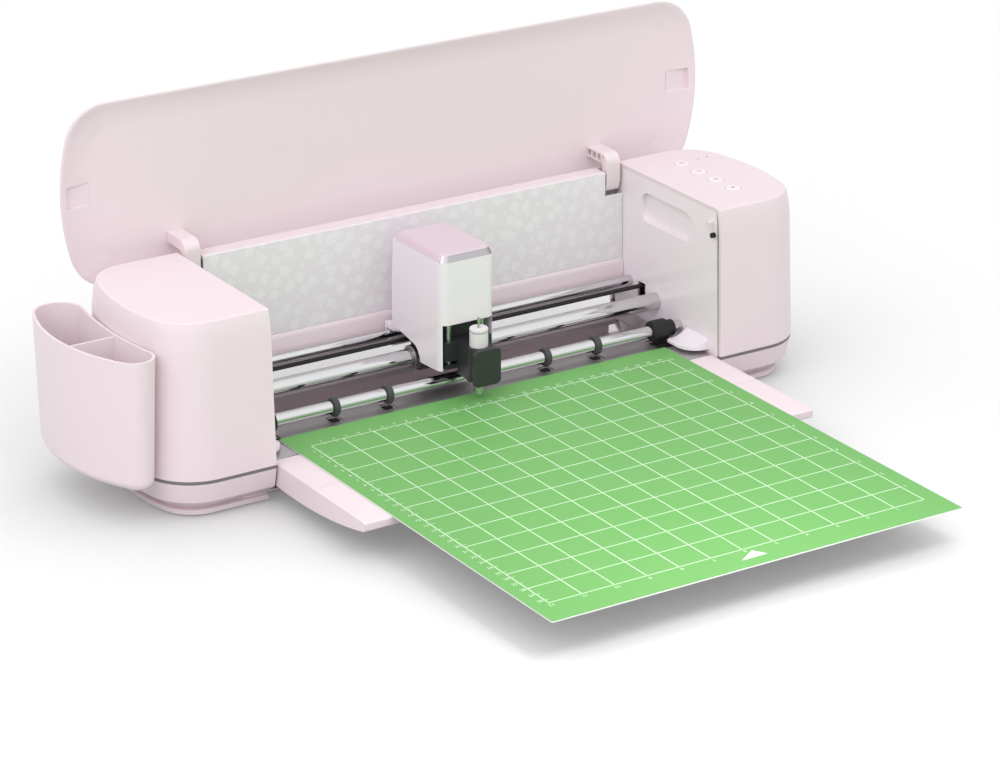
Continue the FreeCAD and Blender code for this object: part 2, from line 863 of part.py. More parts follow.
def make_mat_guides():
    """Flared white guides that lead the mat's edges in at the foot of each side plate."""
    for name, side in SIDES.items():
        guide = Piece(f"{name}_mat_guide")
        nose, foot, lip, crest = size(171.5), size(32.4), size(35), size(40.5)
        flare = [
            (side * nose, foot), (side * bay, foot), (side * bay, crest),
            (side * (bay - 0.8), crest), (side * (nose + 1.5), lip, side * -22),
            (side * nose, lip - 1.5, side * 1.5),
        ]
        guide.pad("XZ", -58, -29.5, [flare])
        sweep = size(16)
        corner = [
            (side * (nose - 1), size(-60)), (side * (nose + sweep), size(-60)),
            (side * (nose + sweep), size(-58)),
            (side * nose, -58 + sweep, side * -sweep),
            (side * (nose - 1), -58 + sweep),
        ]
        guide.pocket("XY", foot - 1, 56, [corner])
        guide.keep()


def make_lid_stops():
    """Catch and rubber bumper near the front of each side plate."""
    catches, bumpers = [], []
    for name, side in SIDES.items():
        x0, x1 = side_span(side, bay - 4, bay)
        catch = Piece(f"{name}_catch")
        catch.pad("YZ", x0, x1, [[(-61, 131), (-56.5, 131), (-57.5, 135.5), (-61, 134.2)]])
        catches.append(catch.body)
        reach = side_span(side, bay - 3, bay)
        bumpers.append(rod(f"{name}_bumper", "X", (size(-62), size(124.2)), 2, *reach))
    keep("lid_catches", group("lid_catches", catches))
    keep("lid_bumpers", group("lid_bumpers", bumpers))


def make_front_door():
    """Folded-down front door: a shallow wedge with a bowed outside and a rebated deck."""
    door = Piece("front_door")
    half_door = cell("door_half")
    front, back = cell("door_front"), cell("door_back")
    side = [
        (front + 1.5, deck), (front, deck - 1.5, 1.5), (front, deck - 5.3),
        (front + 1.5, deck - 6.8, 1.5), (back, size(13.5), 430), (back, deck),
    ]
    door.pad("YZ", -half_door, half_door, [side])
    rebate = deck - 2.1
    seam = cell("door_seam")
    door.pocket("XY", rebate, deck, [block(-half_door + 1.3, half_door - 1.3, seam, back + 1)])
    door.pocket("XY", 20, rebate, [rounded(-178, 178, seam + 4, back - 5, [6] * 4)])
    y, z = door_pivot
    for ear_side in SIDES.values():
        x0, x1 = side_span(ear_side, half_door - 5, half_door)
        ear = [
            (back, size(15)), (y, z - 3.5), (y + 3.5, z, 3.5), (y, z + 3.5, 3.5), (back, size(25)),
        ]
        door.pad("YZ", x0, x1, [ear])
        door.pocket("YZ", x0, x1, [(y, z, pin_r + gap)])
    door.keep()
    plate = Piece("door_deck")
    edge = half_door - 1.5
    plate.pad("XY", rebate + 0.1, deck, [rounded(-edge, edge, seam + 0.3, back - 0.1, [1.5] * 4)])
    plate.keep()
    pins = [
        rod(f"{name}_door_pin", "X", door_pivot, pin_r, *side_span(side, half_door - 6, plate_out + 1))
        for name, side in SIDES.items()
    ]
    keep("door_pins", group("door_pins", pins))


recess_plane = lid_plane + 4.8


def make_lid():
    """Dished lid standing open, with two shallow catch pockets inside its ends."""
    lid = Piece("lid_shell")
    thick = cell("lid_thick")
    steps = ((0, 0), (0.26, -0.6), (0.63, -2.4), (0.89, -7), (1, -16))
    lid.loft("XZ", [(lid_plane + thick * share, lid_outline(grow)) for share, grow in steps])
    dish = [(lid_plane, -2), (lid_plane + 2.6, -8), (recess_plane, -22)]
    lid.loft("XZ", [(level, lid_outline(grow)) for level, grow in dish], "Subtractive")
    for side in SIDES.values():
        u0, u1 = side_span(side, 247, 266)
        lid.pocket("XZ", lid_plane, recess_plane + 0.6, [block(u0, u1, 186.3, 202.3)])
    lid.keep()


def make_hinge_arms():
    """Goose-neck arms that carry the lid over the back wall, ribbed on the inner side."""
    front, leg = pivot_y - 6, pivot_y + 0.6
    high, under = size(154.5), size(146.5)
    boss = size(5)
    boss_top = pivot_z + (boss * boss - 0.36).root()
    for name, side in SIDES.items():
        arm = Piece(f"{name}_hinge_arm")
        x0, x1 = side_span(side, cell("arm_inner"), cell("arm_outer"))
        outline = [
            (front, pivot_z + 4), (front, high - 8), (front + 8, high, -8), (recess_plane, high),
            (recess_plane, under), (leg + 2, under), (leg, under - 2, 2), (leg, boss_top),
            (pivot_y + boss, pivot_z, -boss), (pivot_y, pivot_z - boss, -boss),
            (pivot_y - boss, pivot_z, -boss),
        ]
        arm.pad("YZ", x0, x1, [outline, (pivot_y, pivot_z, pin_r + gap)])
        inner = side_span(side, cell("arm_inner"), cell("arm_outer") - 3)
        cells = [block(y, y + 4.8, under + 1.6, high - 1.8) for y in (67.5, 74, 80.2)]
        arm.pocket("YZ", *inner, cells)
        arm.keep()
    pins = [
        rod(f"{name}_hinge_pin", "X", (pivot_y, pivot_z), pin_r,
            *side_span(side, cell("arm_inner") - 1, plate_out + 1))
        for name, side in SIDES.items()
    ]
    keep("hinge_pins", group("hinge_pins", pins))


carriage_left, carriage_right = carriage - half, carriage + half
cover_front, cover_rear = cell("carriage_front"), cell("carriage_rear")
cover_low, cover_top = cell("carriage_low"), cell("carriage_top")
foot_rear = cover_rear + 5
foot_low = size(65)
shoe_low = size(60.7)
skin = size(2.0)


def make_carriage_cover():
    """Tall white cover over the carriage, arched over the front rail and open at the tool."""
    cover = Piece("carriage_cover")
    cover.pad("XY", cover_low - 2, cover_top, [
        rounded(carriage_left, carriage_right, cover_front, foot_rear, [7, 7, 3, 3])])
    cover.pocket("YZ", carriage_left, carriage_right, [
        [(foot_rear, size(71)), (foot_rear + 20, size(71)), (foot_rear + 20, cover_top + 1),
         (cover_rear, cover_top + 1)]])
    cover.pocket("XY", cover_low - 2, cover_top - skin, [
        rounded(carriage_left + skin, carriage_right - skin, cover_front + skin, cover_rear - skin,
                [5, 5, 1, 1])])
    y, z = front_rail
    arch = size(12.5)
    under = [
        (cover_front - 5, cover_low - 5), (foot_rear + 5, cover_low - 5), (foot_rear + 5, foot_low),
        (y + 18, foot_low), (y, z + arch), (y - arch, z, arch), (cover_front - 5, cover_low),
    ]
    cover.pocket("YZ", carriage_left, carriage_right, [under])
    mouth_top = size(86)
    cover.pocket("XZ", cover_front - 1, cover_front + 7.5, [
        block(carriage_left + skin, carriage_right - skin, cover_low - 3, mouth_top)])
    cover.keep()


def make_carriage_cap():
    """Bevelled pink cap with a bright trim strip across its front."""
    loft = Piece("cap_form")
    low, high = cover_top, cover_top + cell("cap_tall")
    sections = []
    for level, inset, corner in ((low, 0, 7), (high - 1.1, 2.2, 6), (high, 3.5, 5)):
        sections.append((level, rounded(
            carriage_left + inset, carriage_right - inset, cover_front + inset, cover_rear - inset,
            [corner, corner, corner - 3, corner - 3])))
    loft.loft("XY", sections)
    front = cover_front + 4.5
    knife = box("trim_knife", carriage_left - 1, carriage_right + 1, cover_front - 1, front,
                low - 1, high - 1.1)
    keep("carriage_cap", cut("carriage_cap", loft.body, [knife]))
    trim = doc.addObject("Part::Common", "carriage_trim")
    trim.Base = loft.body
    trim.Tool = knife
    keep("carriage_trim", trim)


bush_radius = size(9.0)
rods_x = [carriage - 14, carriage + 14]
rods_y = size(-25.5)
rod_radius = size(2.0)


def make_carriage_frame():
    """Dark chassis: rail housing, belt clamp and the lugs of the plunge rods."""
    y, z = front_rail
    x0, x1 = carriage - 20.6, carriage + 20.6
    u0, u1 = carriage - 18, carriage + 18
    back = box("frame_back", x0, x1, -19.5, -16, cover_low, 100)
    core = box("frame_core", x0, x1, -19.5, 33.8, 64, 100)
    neck = box("frame_neck", u0, u1, y - 9, y + 9, z, 64)
    barrel = rod("frame_barrel", "X", front_rail, 11, u0, u1)
    lugs = [
        box("lug_low", u0, u1, -29, -19.5, cover_low, cover_low + 3.5),
        box("lug_high", u0, u1, -28.6, -19.5, 90, 97),
    ]
    run_low = belt_high - cell("belt_thick")
    jaw_low, jaw_front, jaw_rear = run_low - 2.6, belt_front - 2.4, belt_rear - 1
    j0, j1 = carriage - 7, carriage + 7
    jaws = [
        box("jaw_top", j0, j1, jaw_front, jaw_rear, belt_high + 0.4, 64),
        box("jaw_web", j0, j1, jaw_front, belt_front - 0.4, jaw_low, 64),
        box("jaw_low", j0, j1, jaw_front, jaw_rear, jaw_low, run_low - 0.4),
    ]
    holes = [rod("frame_bore", "X", front_rail, bush_radius, u0 - 1, u1 + 1)]
    holes += [rod(f"lug_bore_{i}", "Z", (x, rods_y), rod_radius, 40, 100) for i, x in enumerate(rods_x)]
    solid = fuse("frame_solid", [back, core, neck, barrel] + lugs + jaws)
    keep("carriage_frame", cut("carriage_frame", solid, holes))


def make_carriage_bushes():
    bushes = []
    inner = cell("front_rail_radius") + 0.03
    for name, start in (("bush_left", carriage_left - 1.4), ("bush_right", carriage_right - 11.6)):
        ring = Piece(name)
        ring.turn([(inner, 0), (bush_radius, 0), (bush_radius, 13), (inner, 13)])
        ring.stand(start, *front_rail, axis="X")
        bushes.append(ring.body)
    keep("carriage_bushes", group("carriage_bushes", bushes))


def make_rear_shoe():
    """Open shoe that steadies the carriage on the rear rail, with a tapered heel."""
    y, z = rear_rail
    reach = cell("rear_rail_radius") + 0.1
    shoe = Piece("rear_shoe")
    outline = [
        (33.8, shoe_low), (33.8, foot_low), (41, foot_low), (y + 6.4, z + 8.6),
        (y + 6.4, z - 8), (y - 4.5, z - 8), (y - 4.5, z - reach), (y + reach, z - reach),
        (y + reach, z + reach), (y - 6.8, z + reach), (y - 6.8, shoe_low),
    ]
    shoe.pad("YZ", carriage_left + 2.2, carriage_right - 2.2, [outline])
    shoe.keep()


def make_plunge_parts():
    """Motor that drives the tool holder, and the two rods that guide it."""
    can = box("plunge_can", carriage - 14, carriage + 14, -8, 20, 100, 126)
    boss = rod("plunge_boss", "Z", (carriage, size(6)), 8, 126, 129)
    keep("plunge_motor", fuse("plunge_motor", [can, boss]))
    rods = [
        rod(f"plunge_rod_{i}", "Z", (x, rods_y), rod_radius, cover_low, 97) for i, x in enumerate(rods_x)
    ]
    keep("plunge_rods", group("plunge_rods", rods))


sleeve_radius = size(9.2)
holder_low, holder_top = size(46.0), size(72.0)
lever_pin = (carriage + 9.2, tool_y - 7.1)
lug_radius = size(2.1)
lever_pin_radius = size(1.5)
lever_gap = size(0.4)


def make_tool_holder():
    """Split sleeve on a sliding block, with two rounded lugs for the clamp lever."""
    slide = box("holder_slide", carriage - 19.5, carriage + 19.5, -30, -20.6, 57.5, 72)
    web = box("holder_web", carriage - 9.2, carriage + 9.2, tool_y, -29.4, holder_low + 1, holder_top)
    sleeve = rod("holder_sleeve", "Z", (carriage, tool_y), sleeve_radius, holder_low, holder_top)
    x, y = lever_pin
    lugs = []
    for i, (low, high) in enumerate(((47.5, 51.5), (66.5, 70.5))):
        lugs.append(rod(f"lever_lug_{i}", "Z", lever_pin, lug_radius, low, high))
        lugs.append(box(f"lug_web_{i}", x - 5, x + lug_radius, y, tool_y + 2, low, high))
    bores = [
        rod("tool_bore", "Z", (carriage, tool_y), tool_r + gap, holder_low - 1, holder_top + 1),
        rod("lever_bore", "Z", lever_pin, lever_pin_radius, 45, 73),
    ]
    bores += [
        rod(f"slide_bore_{i}", "Z", (x, rods_y), rod_radius + gap, 50, 75) for i, x in enumerate(rods_x)
    ]
    solid = fuse("holder_solid", [slide, web, sleeve] + lugs)
    keep("tool_holder", cut("tool_holder", solid, bores))
    keep("clamp_pin", rod("clamp_pin", "Z", lever_pin, lever_pin_radius, 47, 71))


def make_clamp_lever():
    """Rounded front plate that swings out on a pin behind its right edge."""
    lever = Piece("clamp_lever")
    back = tool_y - sleeve_radius - lever_gap
    plate_half = size(11.4)
    low, high = size(44.6), size(72.7)
    left, right = carriage - plate_half, carriage + plate_half
    lever.pad("XZ", back - 3, back, [rounded(left, right, low, high, [4] * 4)])
    lever.soften(0.8, lambda e: lies_at(e, back - 3, "y"))
    x, y = lever_pin
    lever.pad("XY", 52, 66, [[
        (x - 2.2, back), (x + 2.2, back), (x + 2.2, y), (x, y + 2.2, 2.2), (x - 2.2, y, 2.2),
    ]])
    lever.pocket("XY", 52, 66, [(x, y, lever_pin_radius + gap)])
    lever.keep()


def make_blade():
    """Blade housing with its bright nose and the sprung plunger that ejects the blade."""
    tool_top = cell("tool_top")
    nose = cell("nose_level")
    bore = size(1.2) + gap
    shell = Piece("blade_housing")
    groove = tool_top - 2.6
    shell.turn([
        (bore, holder_low - 1), (tool_r - 2, holder_low - 1), (tool_r, holder_low + 1.5),
        (tool_r, groove - 0.8), (tool_r - 0.5, groove - 0.8), (tool_r - 0.5, groove), (tool_r, groove),
        (tool_r, tool_top - 0.6), (tool_r - 0.6, tool_top), (bore, tool_top),
    ])
    shell.stand(carriage, tool_y, 0).keep()
    tip = Piece("blade_nose")
    tip.turn([
        (0, nose), (2.2, nose), (3.4, nose + 1), (3.4, nose + 6), (4.4, nose + 6.6),
        (4.4, holder_low - 1), (0, holder_low - 1),
    ])
    tip.stand(carriage, tool_y, 0).keep()
    pin = Piece("blade_plunger")
    pin.turn([
        (0, tool_top - 22), (1.2, tool_top - 22), (1.2, tool_top + 7.4), (0.8, tool_top + 7.8),
        (0, tool_top + 7.8),
    ])
    pin.stand(carriage, tool_y, 0).keep()


def make_mat():
    """Thin flexible mat with small round corners."""
    mat = Piece("cutting_mat")
    reach = cell("mat_half")
    mat.pad("XY", mat_low, mat_top, [
        rounded(-reach, reach, cell("mat_near"), cell("mat_far"), [1.5] * 4)])
    mat.keep()


def make_pinch_bar():
    """Bright bar with four narrow rings and a soft roller near each end."""
    bar = Piece("pinch_bar")
    radius = cell("pinch_radius")
    length, neck = plate_out * 2 + 4, plate_out - bay + 4.5
    bar.turn([
        (0, 0), (journal, 0), (journal, neck), (radius, neck), (radius, length - neck),
        (journal, length - neck), (journal, length), (0, length),
    ])
    bar.stand(-plate_out - 2, *pinch_axis, axis="X").keep()
    rings = []
    for i, x in enumerate(ring_places):
        ring = Piece(f"ring_{i}")
        outer = cell("ring_radius")
        ring.turn([
            (radius, 0), (outer - 1, 0), (outer, 1), (outer, 4.2), (outer - 1, 5.2), (radius, 5.2),
        ])
        ring.stand(x - 2.6, *pinch_axis, axis="X")
        rings.append(ring.body)
    keep("pinch_rings", group("pinch_rings", rings))
    rollers = []
    outer = cell("pinch_roller_radius")
    for name, side in SIDES.items():
        roller = Piece(f"{name}_roller")
        profile = [(162.5, radius), (162.5, outer - 0.8), (163.3, outer), (175.2, outer),
                   (176, outer - 0.8), (176, 6.2), (182, 6.2), (182, radius)]
        roller.turn([(r, side * size(x)) for x, r in profile])
        roller.stand(0, *pinch_axis, axis="X")
        rollers.append(roller.body)
    keep("pinch_rollers", group("pinch_rollers", rollers))


def make_drive_roller():
    """Lower feed shaft with a gritted sleeve under each mat edge and small support rings."""
    keep("drive_roller", rod("drive_roller", "X", drive_axis, journal, -plate_out - 3, gear_span[1] + 1))
    sleeves = []
    spans = [side_span(side, 163, 180) for side in SIDES.values()]
    spans += [(x - 3.5, x + 3.5) for x in ring_places]
    for i, (start, end) in enumerate(spans):
        sleeve = Piece(f"grip_{i}")
        outer = cell("grip_radius")
        length = end - start
        sleeve.turn([(journal, 0), (outer, 0), (outer, length), (journal, length)])
        sleeve.stand(start, *drive_axis, axis="X")
        sleeves.append(sleeve.body)
    keep("drive_grips", group("drive_grips", sleeves))


def make_buttons():
    """Four round push buttons with a retaining flange under the roof and a stem."""
    radius = cell("button_radius")
    names = ("power_button", "load_button", "pause_button", "start_button")
    for name, y in zip(names, button_rows):
        button = Piece(name)
        button.turn([
            (0, 137.3), (2, 137.3), (2, 139.4), (radius + 1.4, 139.4), (radius + 1.4, 141.2),
            (radius, 141.2), (radius, top + 0.1), (radius - 0.5, top + 0.5), (0, top + 0.5),
        ])
        button.stand(button_column, y, 0).keep()


def cup_ends():
    """Middles of the two round ends of the cup, each touching both long arcs."""
    inner_r, outer_r = cell("cup_inner_radius"), cell("cup_outer_radius")
    inner = (cell("cup_inner") + inner_r, size(-1.2))
    outer = (cell("cup_outer") + outer_r, size(6.7))
    dx, dy = outer[0] - inner[0], outer[1] - inner[1]
    span = named("cup_span", (dx * dx + dy * dy).root())
    ends = []
    for tag, side in (("front", -1), ("rear", 1)):
        near = inner_r + cell(f"cup_{tag}_radius")
        far = outer_r - cell(f"cup_{tag}_radius")
        along = named(f"cup_{tag}_along", (near * near - far * far + span * span) / (span * 2))
        rise = named(f"cup_{tag}_rise", (near * near - along * along).root()) * -side
        x = named(f"cup_{tag}_x", inner[0] + (dx * along - dy * rise) / span)
        y = named(f"cup_{tag}_y", inner[1] + (dy * along + dx * rise) / span)
        ends.append((x, y))
    return inner, outer, ends


def cup_outline(marks, shrink, shift):
    """Kidney outline about the cup's own middle, drawn in by shrink and moved by shift."""
    inner, outer, ends = marks
    shrink = size(shrink)
    inner_r, outer_r = cell("cup_inner_radius"), cell("cup_outer_radius")
    points = []
    for (x, y), tag in zip(ends, ("front", "rear")):
        r = cell(f"cup_{tag}_radius")
        hold = (inner_r + shrink) / (inner_r + r)
        lean = (outer_r - shrink) / (outer_r - r)
        points.append((inner[0] + (x - inner[0]) * hold + shift, inner[1] + (y - inner[1]) * hold))
        points.append((x + shift, y + (r - shrink) * (1 if tag == "rear" else -1)))
        points.append((outer[0] + (x - outer[0]) * lean + shift, outer[1] + (y - outer[1]) * lean))
    near_in, near_tip, near_out, far_in, far_tip, far_out = points
    near_r, far_r = shrink - cell("cup_front_radius"), shrink - cell("cup_rear_radius")
    return [
        (*near_in, inner_r + shrink), (*near_tip, near_r), (*near_out, near_r),
        (*far_out, shrink - outer_r), (*far_tip, far_r), (*far_in, far_r),
    ]


def make_tool_cup():
    """Hanging kidney-shaped tool cup with one divider and a groove that drops over its lug."""
    cup = Piece("tool_cup")
    rim, low, thick = cell("cup_top"), cell("cup_low"), cell("cup_wall")
    marks = cup_ends()
    cup.loft("XY", [(rim, cup_outline(marks, 0, 0)), (low, cup_outline(marks, 3, -1))])
    cup.soften(7, lambda e: lies_at(e, low))
    cup.loft("XY", [
        (rim, cup_outline(marks, thick, 0)), (low + 3, cup_outline(marks, thick + 4.5, -1))], "Subtractive")
    divider = [(-17, low + 9), (14, low + 9), (18.1, rim - 1), (-18.1, rim - 1)]
    cup.pad("XZ", -12.9, -11.1, [divider])
    place = cell("cup_place")
    groove = cup_lug - place - 0.4
    cup.pocket("XZ", -6.3, 6.3, [block(groove, groove + 8, low - 1, lug_high + 0.3)])
    cup.stand(place, cell("cup_centre"), 0).keep()


make_base_pan()
make_feet()
make_left_housing()
make_right_housing()
make_accents()
make_side_plates()
make_rear_cover()
make_rear_panel()
make_bed_plate()
make_rails()
make_belt()
make_pulleys()
make_carriage_motor()
make_idler_bracket()
make_gears()
make_feed_motor()
make_control_board()
make_ports()
make_mat_guides()
make_lid_stops()
make_front_door()
make_lid()
make_hinge_arms()
make_carriage_cover()
make_carriage_cap()
make_carriage_frame()
make_carriage_bushes()
make_rear_shoe()
make_plunge_parts()
make_tool_holder()
make_clamp_lever()
make_blade()
make_mat()
make_pinch_bar()
make_drive_roller()
make_buttons()
make_tool_cup()
doc.recompute()

for thing in doc.Objects:
    if "Invalid" in thing.State or "Error" in thing.State:
        raise RuntimeError(f"{thing.Name} did not build: {thing.State}")
for name, thing in nodes.items():
    if thing.Shape.isNull() or not thing.Shape.isValid() or thing.Shape.Volume < 1:
        raise RuntimeError(f"{name} has no sound shape")

os.makedirs("parts", exist_ok=True)
for name, thing in nodes.items():
    thing.Shape.exportStep(f"parts/{name}.step")
print(len(nodes), "sub-parts written")
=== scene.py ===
"""Looks of the desktop craft cutter, laid out as an add-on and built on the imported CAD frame."""

import math

import bpy
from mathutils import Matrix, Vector


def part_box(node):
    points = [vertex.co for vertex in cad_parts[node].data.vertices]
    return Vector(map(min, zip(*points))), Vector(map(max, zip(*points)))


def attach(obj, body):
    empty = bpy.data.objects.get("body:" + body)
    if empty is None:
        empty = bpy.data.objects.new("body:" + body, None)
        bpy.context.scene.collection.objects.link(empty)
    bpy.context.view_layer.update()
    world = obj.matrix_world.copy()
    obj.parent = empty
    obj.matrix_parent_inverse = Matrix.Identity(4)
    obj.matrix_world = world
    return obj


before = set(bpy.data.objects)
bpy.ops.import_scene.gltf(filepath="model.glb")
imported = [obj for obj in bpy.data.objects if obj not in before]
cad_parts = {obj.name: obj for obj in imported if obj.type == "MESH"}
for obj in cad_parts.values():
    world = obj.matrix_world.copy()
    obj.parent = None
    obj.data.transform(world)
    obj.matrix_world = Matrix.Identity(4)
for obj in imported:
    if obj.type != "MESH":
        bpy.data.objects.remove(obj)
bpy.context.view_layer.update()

bl_info = {
    "name": "Craft cutter looks",
    "version": (1, 0, 0),
    "blender": (4, 5, 0),
    "location": "View3D > Sidebar > Craft cutter",
    "description": "Materials, printed marks and studio stage for the desktop craft cutter",
    "category": "Object",
}

# Sizes of the printed marks are in millimetres, in the CAD frame.
MM = 0.001
INCH = 25.4
PRINT_LIFT = 0.04

GRID_CELLS = 12
GRID_LEFT = -152.4
GRID_NEAR = -362.0
GRID_HALF_LINE = 0.4
TICK_HALF_WIDTH = 0.22
TICK_LENGTH = 3.0
RULER_CM = 30
RULER_GAP = 3.4
CM_NUMBER_SIZE = 4.4
INCH_NUMBER_SIZE = 4.6
ARROW = ((4.6, -366.5), (-10.4, -376), (10.6, -376))

BLADE_CENTRE = (-5.3, -44.5)
BLADE_RING_RADIUS = 6.5
BLADE_RING_LEVELS = (82.65, 83.35)
BLADE_RING_STEPS = 32

LAMP_CENTRES = ((245.0, 38.3), (253.7, 38.8))
LAMP_RADIUS = 0.8

# Print layers of the rear panel: cells per metre, size in its cell, turn and measure of distance.
PANEL_LAYERS = ((78, 0.30, 0.5, "MINKOWSKI"), (96, 0.17, 0.2, "EUCLIDEAN"))
PANEL_PRINT_TONE = 0.98
PANEL_SCATTER = 0.6
PANEL_SQUARENESS = 5
PANEL_BLUR = 0.05
PANEL_GRAIN = 900
PANEL_ROUGHNESS = 0.45

INK_GRAIN = 1800
INK_ROUGHNESS = 0.5
PLASTIC_IOR = 1.46
GLOSS_SPREAD = 0.05
GRAIN_DETAIL = 3
GRAIN_RELIEF = 0.0002
UPWARD = 0.7

# Roundings and gaps on the CAD nodes are in metres.
CAP_ROUNDING = 0.0022
CAP_SEGMENTS = 5
EDGE_SEGMENTS = 2
EDGE_ANGLE = math.radians(38)
WELD_GAP = 1e-5

SENSOR_WIDTH = 36
CLIP_END = 50

# The floor throws back FLOOR_TONE of the light. Seen directly or mirrored, it also glows by FLOOR_LIFT.
FLOOR_REACH = 12
FLOOR_TONE = 0.60
FLOOR_LIFT = 0.33
# Painted shade: within SHADOW_REACH of the object, the floor's colour and glow are darkened by up to
# SHADOW_DEPTH.
SHADOW_REACH = 0.3
SHADOW_DEPTH = 0.45
SHADOW_SAMPLES = 12

SKY_TOWARD = (-0.42, -0.68, 0.60)
SKY_SPREAD = 0.38
HORIZON_TONE = 0.55
HORIZON_TOP = 0.35

# Each light's name, its place, target and size in metres, and its share of the key light's power.
KEY_LIGHT = ("key", (-0.9, -2.3, 2.3), (0, -0.1, 0.1), 2.2, 1)
SIDE_LIGHT = ("side", (-1.3, -0.5, 1.2), (0, 0.1, 0.15), 0.9, 0.6)
NEAR_LIGHT = ("near", (0.0, -0.68, 0.62), (-0.01, -0.45, 0.02), 0.25, 0.047)
NEAR_LIGHT_SPREAD = math.radians(50)


class CutterLooks(bpy.types.PropertyGroup):
    """Colours and finishes of the machine."""

    shell_colour: bpy.props.FloatVectorProperty(
        name="Shell", description="Pale pink of the moulded shells", subtype="COLOR", size=4,
        default=(0.85, 0.735, 0.77, 1), min=0, max=1)
    shell_roughness: bpy.props.FloatProperty(
        name="Shell roughness", description="How matt the shells are", subtype="FACTOR",
        default=0.42, min=0, max=1)
    mat_colour: bpy.props.FloatVectorProperty(
        name="Mat", description="Green of the grip mat", subtype="COLOR", size=4,
        default=(0.168, 0.452, 0.121, 1), min=0, max=1)
    print_colour: bpy.props.FloatVectorProperty(
        name="Mat print", description="Pale lines and numbers on the mat", subtype="COLOR", size=4,
        default=(0.70, 0.90, 0.66, 1), min=0, max=1)
    panel_contrast: bpy.props.FloatProperty(
        name="Panel print", description="Strength of the rear panel's tone-on-tone print",
        subtype="FACTOR", default=0.28, min=0, max=1)
    cap_colour: bpy.props.FloatVectorProperty(
        name="Carriage cap", description="Deeper pink of the carriage's cap", subtype="COLOR", size=4,
        default=(0.72, 0.58, 0.655, 1), min=0, max=1)
    # The pink cast of the white cover, side plate and rear panel colours is painted light: it cancels the
    # green light that the mat throws on them. The side plates are also a little pink of their own.
    cover_colour: bpy.props.FloatVectorProperty(
        name="White covers", description="Carriage cover, shoe and mat guides", subtype="COLOR", size=4,
        default=(0.92, 0.84, 0.91, 1), min=0, max=1)
    plate_colour: bpy.props.FloatVectorProperty(
        name="Side plates", description="Glossy plates at the ends of the bay", subtype="COLOR", size=4,
        default=(0.93, 0.84, 0.895, 1), min=0, max=1)
    panel_colour: bpy.props.FloatVectorProperty(
        name="Rear panel", description="Ground tone of the printed rear panel", subtype="COLOR", size=4,
        default=(0.83, 0.79, 0.825, 1), min=0, max=1)
    band_colour: bpy.props.FloatVectorProperty(
        name="Dark bands", description="Thin bands under the end housings", subtype="COLOR", size=4,
        default=(0.19, 0.175, 0.185, 1), min=0, max=1)
    edge_width: bpy.props.FloatProperty(
        name="Edge softness", description="Width of the small bevel on moulded edges", unit="LENGTH",
        default=0.0005, min=0, max=0.003)


class CutterStage(bpy.types.PropertyGroup):
    """Camera, light and floor."""

    camera_place: bpy.props.FloatVectorProperty(
        name="Camera", description="Where the camera stands", subtype="TRANSLATION", unit="LENGTH",
        default=(-1.3422, -2.1723, 1.0564))
    camera_yaw: bpy.props.FloatProperty(
        name="Yaw", description="Turn of the camera to the right", subtype="ANGLE",
        default=math.radians(32.49))
    camera_pitch: bpy.props.FloatProperty(
        name="Pitch", description="Tilt of the camera below the horizon", subtype="ANGLE",
        default=math.radians(21.91))
    lens: bpy.props.FloatProperty(
        name="Lens", description="Focal length on a 36 mm sensor", unit="CAMERA", default=134.69)
    sky: bpy.props.FloatProperty(
        name="Sky", description="Strength of the soft light all round", default=0.95, min=0)
    key: bpy.props.FloatProperty(
        name="Key light", description="Power of the large soft light in front, which the others follow",
        unit="POWER", default=6, min=0)


def new_material(name):
    """A material with its node tree and its principled surface."""
    material = bpy.data.materials.new(name)
    material.use_nodes = True
    tree = material.node_tree
    return material, tree, tree.nodes["Principled BSDF"]


def node(tree, kind, **settings):
    """A new node with the given settings."""
    made = tree.nodes.new(kind)
    for key, value in settings.items():
        setattr(made, key, value)
    return made


def value_math(tree, operation, *values):
    """One maths node with numbers or sockets as inputs."""
    made = node(tree, "ShaderNodeMath", operation=operation)
    for socket, x in zip(made.inputs, values):
        if isinstance(x, (int, float)):
            socket.default_value = x
        else:
            tree.links.new(x, socket)
    return made.outputs[0]


def mix_colour(tree, factor, a, b):
    """A blend of two colours, each a value or a socket."""
    made = node(tree, "ShaderNodeMix", data_type="RGBA")
    tree.links.new(factor, made.inputs["Factor"])
    for key, x in (("A", a), ("B", b)):
        socket = [s for s in made.inputs if s.name == key and s.type == "RGBA"][0]
        if isinstance(x, (tuple, list)):
            socket.default_value = x
        else:
            tree.links.new(x, socket)
    return [s for s in made.outputs if s.type == "RGBA"][0]


def object_position(tree, scale):
    """Position on the object, scaled."""
    where = node(tree, "ShaderNodeTexCoord")
    mapping = node(tree, "ShaderNodeMapping")
    mapping.inputs["Scale"].default_value = scale
    tree.links.new(where.outputs["Object"], mapping.inputs["Vector"])
    return mapping.outputs["Vector"]


def grain(tree, surface, scale, rough, spread, bump, stretch=(1, 1, 1)):
    """Fine uneven gloss and a faint relief."""
    noise = node(tree, "ShaderNodeTexNoise")
    noise.inputs["Scale"].default_value = scale
    noise.inputs["Detail"].default_value = GRAIN_DETAIL
    tree.links.new(object_position(tree, stretch), noise.inputs["Vector"])
    spread_map = node(tree, "ShaderNodeMapRange")
    spread_map.inputs["To Min"].default_value = rough - spread
    spread_map.inputs["To Max"].default_value = rough + spread
    tree.links.new(noise.outputs["Fac"], spread_map.inputs["Value"])
    tree.links.new(spread_map.outputs["Result"], surface.inputs["Roughness"])
    if bump:
        relief = node(tree, "ShaderNodeBump")
        relief.inputs["Strength"].default_value = bump
        relief.inputs["Distance"].default_value = GRAIN_RELIEF
        tree.links.new(noise.outputs["Fac"], relief.inputs["Height"])
        tree.links.new(relief.outputs["Normal"], surface.inputs["Normal"])
    return noise.outputs["Fac"]


